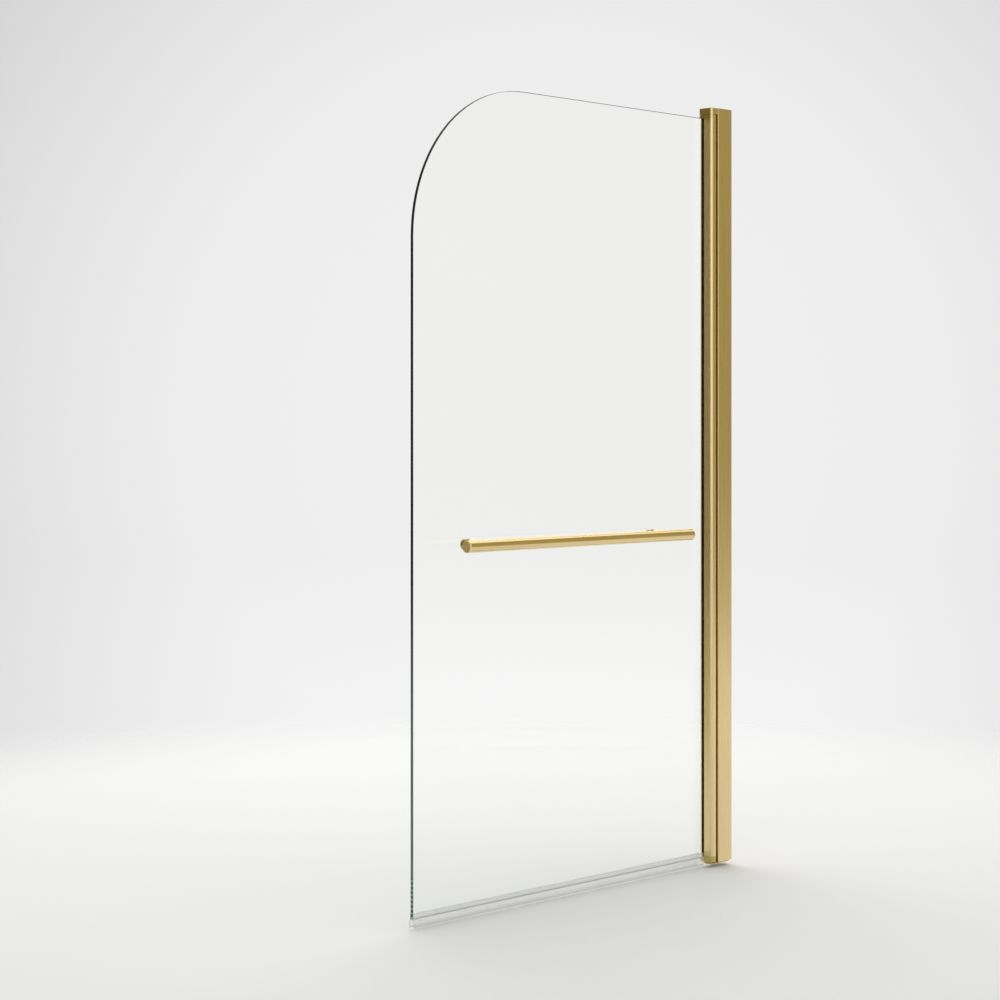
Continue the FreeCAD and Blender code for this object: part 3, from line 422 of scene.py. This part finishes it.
def vinyl_material(name):
    """Slightly milky clear vinyl, with painted shade that makes it greyer where it meets the bath rim."""
    material, tree, shader = new_material(name)
    grain = streaks(tree, VINYL_GRAIN, VINYL_DETAIL)
    grain_tone = ramp(tree, grain, list(zip(VINYL_STOPS, (VINYL_MILKY, VINYL_CLEAR))))
    above_foot = map_range(tree, split_axes(tree, object_place(tree))["Z"], (0.0, SHADED_FOOT_HEIGHT))
    foot_shade = ramp(tree, above_foot, [(0.0, FOOT_SHADE_TINT), (SHADE_FULL_UP_TO, FOOT_SHADE_TINT), (1.0, VINYL_CLEAR)])
    set_inputs(shader, {
        "Base Color": mix_colours(tree, 1.0, grain_tone, foot_shade, "MULTIPLY"),
        "Roughness": VINYL_ROUGHNESS,
        "IOR": VINYL_IOR,
        "Transmission Weight": VINYL_CLARITY,
    })
    add_bump(tree, shader, grain, VINYL_BUMP, VINYL_DEPTH)
    to_surface(tree, pale_shadow(tree, shader.outputs[0], VINYL_SHADOW))
    return material


vinyl = vinyl_material("clear_vinyl")
print("clear vinyl")

# %% [markdown]
# ## Hand out the finishes
# Every part of the frame keeps its own mesh and only changes its material. A short table says which part
# gets which finish. The parts that it leaves out are the pins, studs, screws and nuts, which are all steel.

# %% Hand out the finishes
FINISHES = {
    "wall_channel": profile_brass,
    "adjusting_post": inner_brass,
    "pivot_profile": profile_brass,
    "top_head": trim_brass,
    "top_collar": trim_brass,
    "bottom_end_cap": shaded_foot_brass,
    "bottom_plate": shaded_foot_brass,
    "clamp_covers": lit_post_brass,
    "towel_bar": rail_brass,
    "bar_end_caps": lit_post_brass,
    "rail_post_free": lit_post_brass,
    "rail_post_wall": lit_post_brass,
    "rear_cap_free": shaded_foot_brass,
    "rear_cap_wall": shaded_foot_brass,
    "glass_panel": glass,
    "front_gasket": rubber,
    "rear_glazing_tape": rubber,
    "gap_seal": rubber,
    "glass_packers": nylon,
    "top_bush": nylon,
    "bottom_bush": nylon,
    "thrust_washer": nylon,
    "glass_sleeves": vinyl,
    "front_washers": vinyl,
    "rear_washers": vinyl,
    "bottom_seal": vinyl,
}
for name, part in nodes.items():
    part.data.materials.clear()
    part.data.materials.append(FINISHES.get(name, steel))
print("finishes on", len(nodes), "parts")

# %% [markdown]
# ## The soft seal
# The frame's seal has sharp corners, but an extruded vinyl seal has none. Here it is drawn again as one flat
# face in the shape of its section, half of it mirrored to the other side of the glass. Each corner of the
# section becomes a short arc, and the face is then extruded along the foot of the glass, as the die does it.

# %% The section of the seal
SEAL_WALL = 0.0009
SEAL_LIP_FLARE = 0.0014
SEAL_REACH = 0.0032
SEAL_FIN = 0.0011
CORNER = 0.00042
CORNER_SHARE = 0.45
ARC_STEPS = 4


def rounded(points, radius, steps):
    """The closed outline with an arc in place of every corner."""
    result = []
    for i, point in enumerate(points):
        corner = Vector(point)
        before = Vector(points[i - 1]) - corner
        after = Vector(points[(i + 1) % len(points)]) - corner
        half = before.angle(after) / 2
        reach = min(radius / math.tan(half), before.length * CORNER_SHARE, after.length * CORNER_SHARE)
        start = corner + before.normalized() * reach
        end = corner + after.normalized() * reach
        for step in range(steps + 1):
            k = step / steps
            result.append((1 - k) ** 2 * start + 2 * k * (1 - k) * corner + k**2 * end)
    return result


def seal_half(glass_foot, lip_top):
    """Points of one half of the section: distance outwards from the face of the glass, and height."""
    floor = glass_foot - SEAL_WALL
    fin_side = SEAL_REACH - SEAL_FIN
    return [
        (0.0, glass_foot),
        (0.0, lip_top - SEAL_WALL * 2),
        (SEAL_LIP_FLARE - SEAL_WALL / 2, lip_top),
        (SEAL_LIP_FLARE + SEAL_WALL / 2, lip_top - SEAL_WALL / 2),
        (SEAL_WALL, lip_top - SEAL_WALL * 3),
        (SEAL_WALL, floor + SEAL_WALL),
        (SEAL_REACH, floor - SEAL_REACH),
        (fin_side, 0.0),
        (fin_side - SEAL_FIN, 0.0),
        (fin_side, floor - SEAL_REACH - SEAL_WALL / 2),
        (-SEAL_WALL / 2, floor),
    ]


def seal_section(front, back, glass_foot, lip_top):
    """The whole rounded section, in YZ, with one half on each side of the glass."""
    half = seal_half(glass_foot, lip_top)
    outline = [(back + out, up) for out, up in half]
    outline += [(front - out, up) for out, up in reversed(half)]
    return rounded(outline, CORNER, ARC_STEPS)


print("section of the seal with", 2 * len(seal_half(0.0, 0.0)), "corners")

# %% [markdown]
# Beside the post the rear side of the seal is notched, as in the frame. Planes could cut it out, but they
# would leave open faces to fill. So a Boolean modifier takes a plain block away instead, and its result
# becomes the seal's mesh.

# %% The soft seal
SEAL_NOTCH = 0.008


def extrude_section(section, start, end):
    """A solid bar of a section, in YZ, from one X to another."""
    shape = bmesh.new()
    face = shape.faces.new([shape.verts.new((start, y, z)) for y, z in section])
    grown = bmesh.ops.extrude_face_region(shape, geom=[face], use_keep_orig=True)["geom"]
    moved = [item for item in grown if isinstance(item, bmesh.types.BMVert)]
    bmesh.ops.translate(shape, vec=(end - start, 0.0, 0.0), verts=moved)
    bmesh.ops.recalc_face_normals(shape, faces=shape.faces)
    return shape


def block(low, high):
    """A box between two corners."""
    shape = bmesh.new()
    bmesh.ops.create_cube(shape, size=1.0)
    bmesh.ops.scale(shape, vec=high - low, verts=shape.verts)
    bmesh.ops.translate(shape, vec=(high + low) / 2, verts=shape.verts)
    return shape


def cut_away(item, cutter):
    """Take one object away from another and keep the result as its mesh."""
    trim = item.modifiers.new("notch", "BOOLEAN")
    trim.operation = "DIFFERENCE"
    trim.object = cutter
    bpy.context.view_layer.update()
    whole = item.evaluated_get(bpy.context.evaluated_depsgraph_get())
    cut_mesh = bpy.data.meshes.new_from_object(whole)
    item.modifiers.clear()
    item.data = cut_mesh
    bpy.data.objects.remove(cutter)


def soft_seal():
    """The rounded seal, notched beside the post."""
    (x_low, y_low, z_low), (x_high, y_high, z_high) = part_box("bottom_seal")
    glass_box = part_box("glass_panel")
    front = y_low + SEAL_REACH
    back = y_high - SEAL_REACH
    section = seal_section(front, back, glass_box[0][2], z_high)
    item = mesh_object("soft_bottom_seal", extrude_section(section, x_low, x_high), vinyl)
    low = Vector((x_high - SEAL_NOTCH, back - SEAL_WALL, z_low - SEAL_WALL))
    high = Vector((x_high + SEAL_WALL, y_high + SEAL_WALL, z_high + SEAL_WALL))
    cut_away(item, mesh_object("seal_notch", block(low, high), vinyl))
    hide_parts("bottom_seal")
    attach(item, "screen")
    return item


seal = soft_seal()
print("seal with", len(seal.data.polygons), "faces")

# %% [markdown]
# ## The studio
# The screen stands in a pale studio. The floor is a wide disc that turns clear some way behind the screen, so
# it melts into the backdrop and no horizon line shows. It lies a few millimetres under the foot of the seal,
# so the soft shadow starts right below the seal and the post.

# %% Floor
FLOOR_RADIUS = 9.0
FLOOR_SEGMENTS = 96
FLOOR_DROP = 0.004
FLOOR_CENTRE = (-0.4, 0.0)
FLOOR_FADE = (1.5, 2.7)
FLOOR_MOTTLE = 0.7
FLOOR_TINTS = [(0.3, (0.88, 0.88, 0.878)), (0.7, (0.90, 0.90, 0.90))]
FLOOR_ROUGHNESS = 0.6


def floor_material():
    """Pale floor that turns clear with distance."""
    material, tree, shader = new_material("pale_floor")
    place = object_place(tree)
    set_inputs(shader, {
        "Base Color": ramp(tree, noise(tree, place, FLOOR_MOTTLE), FLOOR_TINTS),
        "Roughness": FLOOR_ROUGHNESS,
        "Specular IOR Level": 0.0,
    })
    reach = add_node(tree, "ShaderNodeVectorMath", {0: place}, operation="LENGTH").outputs["Value"]
    fade = map_range(tree, reach, FLOOR_FADE, interpolation_type="SMOOTHSTEP")
    to_surface(tree, mix_shaders(tree, fade, shader.outputs[0], transparent(tree)))
    return material


disc = bmesh.new()
bmesh.ops.create_circle(disc, cap_ends=True, segments=FLOOR_SEGMENTS, radius=FLOOR_RADIUS)
floor = mesh_object("floor", disc, floor_material())
floor.location = (*FLOOR_CENTRE, -FLOOR_DROP)
print("floor", FLOOR_DROP * 1000, "mm under the foot of the seal")

# %% [markdown]
# ## Backdrop and ambient light
# The world has three jobs, told apart by the kind of ray. What the camera sees, directly or through the
# glass, is the pale backdrop, brighter in the middle and towards the floor. What shiny surfaces mirror is
# plain white. What lights the dull surfaces is an even soft glow. One bright world for all three would be
# simpler, but it would also light the object too strongly and wash out its colours.

# %% World
BACKDROP_FACING = Vector((0.736, 0.677, 0.0)).normalized()
BACKDROP_RANGE = (0.955, 0.995)
BACKDROP_LEVELS = [(0.0, 0.66), (0.55, 0.79), (0.8, 0.848), (1.0, 0.862)]
LOW_VIEW = (-0.06, -0.135)
LOW_LIFT = 0.055
GLASS_LIFT = 0.04
MIRRORED = (1.0, 1.0, 1.0)
MIRRORED_LEVEL = 0.8
GLOW = (1.0, 1.0, 0.985)
GLOW_LEVEL = 0.70


def background(tree, colour, level):
    """A glowing background, with a colour or a socket."""
    return add_node(tree, "ShaderNodeBackground", {"Color": colour, "Strength": level}).outputs[0]


def backdrop_colour(tree):
    """Grey that grows paler towards the middle of the picture and towards the floor."""
    direction = add_node(tree, "ShaderNodeTexCoord").outputs["Generated"]
    inputs = {0: direction, 1: BACKDROP_FACING}
    facing = add_node(tree, "ShaderNodeVectorMath", inputs, operation="DOT_PRODUCT").outputs["Value"]
    middle = map_range(tree, facing, BACKDROP_RANGE)
    colour = ramp(tree, middle, [(place, (grey, grey, grey)) for place, grey in BACKDROP_LEVELS])
    low = map_range(tree, split_axes(tree, direction)["Z"], LOW_VIEW, (0.0, LOW_LIFT))
    return add_node(tree, "ShaderNodeVectorMath", {0: colour, 1: low}, operation="ADD").outputs["Vector"]


def world_light():
    """The studio's world, which shows another light to each kind of ray."""
    world = bpy.data.worlds.new("studio")
    scene.world = world
    world.use_nodes = True
    tree = world.node_tree
    tree.nodes.clear()
    ray = add_node(tree, "ShaderNodeLightPath").outputs
    through_glass = maths(tree, "MULTIPLY_ADD", ray["Is Transmission Ray"], GLASS_LIFT, 1.0)
    seen = background(tree, backdrop_colour(tree), through_glass)
    mirrored = background(tree, (*MIRRORED, 1), MIRRORED_LEVEL)
    glow = background(tree, (*GLOW, 1), GLOW_LEVEL)
    straight = maths(tree, "MAXIMUM", ray["Is Camera Ray"], ray["Is Transmission Ray"])
    unlit = mix_shaders(tree, ray["Is Glossy Ray"], glow, mirrored)
    add_node(tree, "ShaderNodeOutputWorld", {"Surface": mix_shaders(tree, straight, unlit, seen)})


world_light()
print("world with a backdrop from", BACKDROP_LEVELS[0][1], "to", BACKDROP_LEVELS[-1][1])

# %% [markdown]
# ## Lamps
# Two large soft lamps light the floor and whatever is dull: one high behind the screen, which throws the soft
# shadow forward, and one from above. They don't show in the metal: that is left to the cards.

# %% Lamps
MIDDLE = (-0.4, 0.0, 0.7)


def aim(item, target):
    """Turn a lamp or card so that its -Z looks at the target."""
    direction = Vector(target) - item.location
    item.rotation_euler = direction.to_track_quat("-Z", "Y").to_euler()


def lamp(name, place, size, power):
    """A square soft lamp, in metres and watts, that looks at the middle of the screen."""
    data = bpy.data.lights.new(name, "AREA")
    data.shape = "SQUARE"
    data.size = size
    data.energy = power
    item = bpy.data.objects.new(name, data)
    scene.collection.objects.link(item)
    item.location = place
    aim(item, MIDDLE)
    item.visible_camera = False
    item.visible_glossy = False


lamp("back_lamp", place=(1.0, 1.75, 3.0), size=3.2, power=47)
lamp("top_lamp", place=(-0.4, 0.2, 4.0), size=3.0, power=10)
print(len(bpy.data.lights), "lamps")

# %% [markdown]
# ## Cards
# Polished metal shows what stands around it, so its looks are made by cards out of the picture. Each card
# glows with its own colour, but only for rays that a metal has reflected. The camera looks straight
# through it, and so does the faint first reflection in the glass. Brown cards to the left and right give the
# flat faces their depth, the wide bright one in front draws the line down the rounded corner, and another
# above and behind draws the light along the rail.

# %% Cards
ONE_BOUNCE = 1.5
ANY_BOUNCE = 0.5


def metal_only(tree):
    """1 for rays that a metal has reflected, and 0 for the camera's own and the first one off the glass."""
    ray = add_node(tree, "ShaderNodeLightPath").outputs
    reflected = maths(tree, "GREATER_THAN", ray["Glossy Depth"], ANY_BOUNCE)
    early = maths(tree, "LESS_THAN", ray["Ray Depth"], ONE_BOUNCE)
    off_glass = maths(tree, "MULTIPLY", early, ray["Is Singular Ray"])
    return maths(tree, "GREATER_THAN", reflected, off_glass)


def card(name, place, target, width, height, stops):
    """A glowing card that only shows in metal, with (height, colour) stops from its foot to its top."""
    shape = bmesh.new()
    bmesh.ops.create_grid(shape, x_segments=1, y_segments=1, size=0.5)
    bmesh.ops.scale(shape, vec=(width, height, 1.0), verts=shape.verts)
    material, tree, _ = new_material(f"{name}_glow")
    up = split_axes(tree, object_place(tree))["Y"]
    share = map_range(tree, up, (-height / 2, height / 2))
    colours = ramp(tree, share, [(level / height, colour) for level, colour in stops])
    glow = add_node(tree, "ShaderNodeEmission", {"Color": colours, "Strength": 1.0}).outputs[0]
    to_surface(tree, mix_shaders(tree, metal_only(tree), transparent(tree), glow))
    item = mesh_object(name, shape, material)
    item.location = place
    aim(item, target)
    item.visible_diffuse = False
    item.visible_shadow = False
    print(name, width, "x", height, "m")


card("left_card", place=(-1.21, 1.11, 1.3), target=(-0.05, 0.0, 1.3), width=2.4, height=2.6, stops=[
    (0.1, (0.50, 0.48, 0.32)),
    (0.50, (0.13, 0.105, 0.01)),
    (1.60, (0.11, 0.09, 0.005)),
    (1.80, (0.30, 0.25, 0.09)),
])
card("right_card", place=(1.06, -1.06, 1.2), target=(-0.02, 0.0, 1.2), width=1.6, height=2.4, stops=[
    (0.15, (0.95, 0.95, 0.86)),
    (0.37, (0.61, 0.56, 0.40)),
    (0.70, (0.43, 0.375, 0.195)),
    (1.45, (0.43, 0.375, 0.195)),
])
card("front_card", place=(-3.7, -4.3, 2.8), target=(-0.1, 0.0, 1.0), width=7.0, height=5.0, stops=[
    (0.0, (1.28, 1.26, 1.22)),
])
card("rail_card", place=(1.75, 0.9, 2.5), target=(-0.4, 0.0, 0.6), width=3.4, height=3.2, stops=[
    (0.0, (1.5, 1.47, 1.4)),
])

# %% [markdown]
# ## Camera
# The screen is seen from its free side and from the front, through a long lens that stands a little above
# half its height. The camera is level and the lens is shifted down, which keeps the uprights upright.

# %% Camera
SENSOR = 36.0
LENS = 83.010
SHIFT_DOWN = 0.0803
CAMERA_PLACE = (-3.3814, -2.6967, 0.8237)
CAMERA_TURN = math.radians(45.850)
LEVEL = math.radians(90)
FAR_LIMIT = 60.0

camera_data = bpy.data.cameras.new("camera")
camera_data.sensor_width = SENSOR
camera_data.lens = LENS
camera_data.shift_y = -SHIFT_DOWN
camera_data.clip_end = FAR_LIMIT
camera = bpy.data.objects.new("camera", camera_data)
scene.collection.objects.link(camera)
camera.location = CAMERA_PLACE
camera.rotation_euler = (LEVEL, 0, -CAMERA_TURN)
scene.camera = camera
print("camera turned", round(math.degrees(CAMERA_TURN), 1), "degrees")
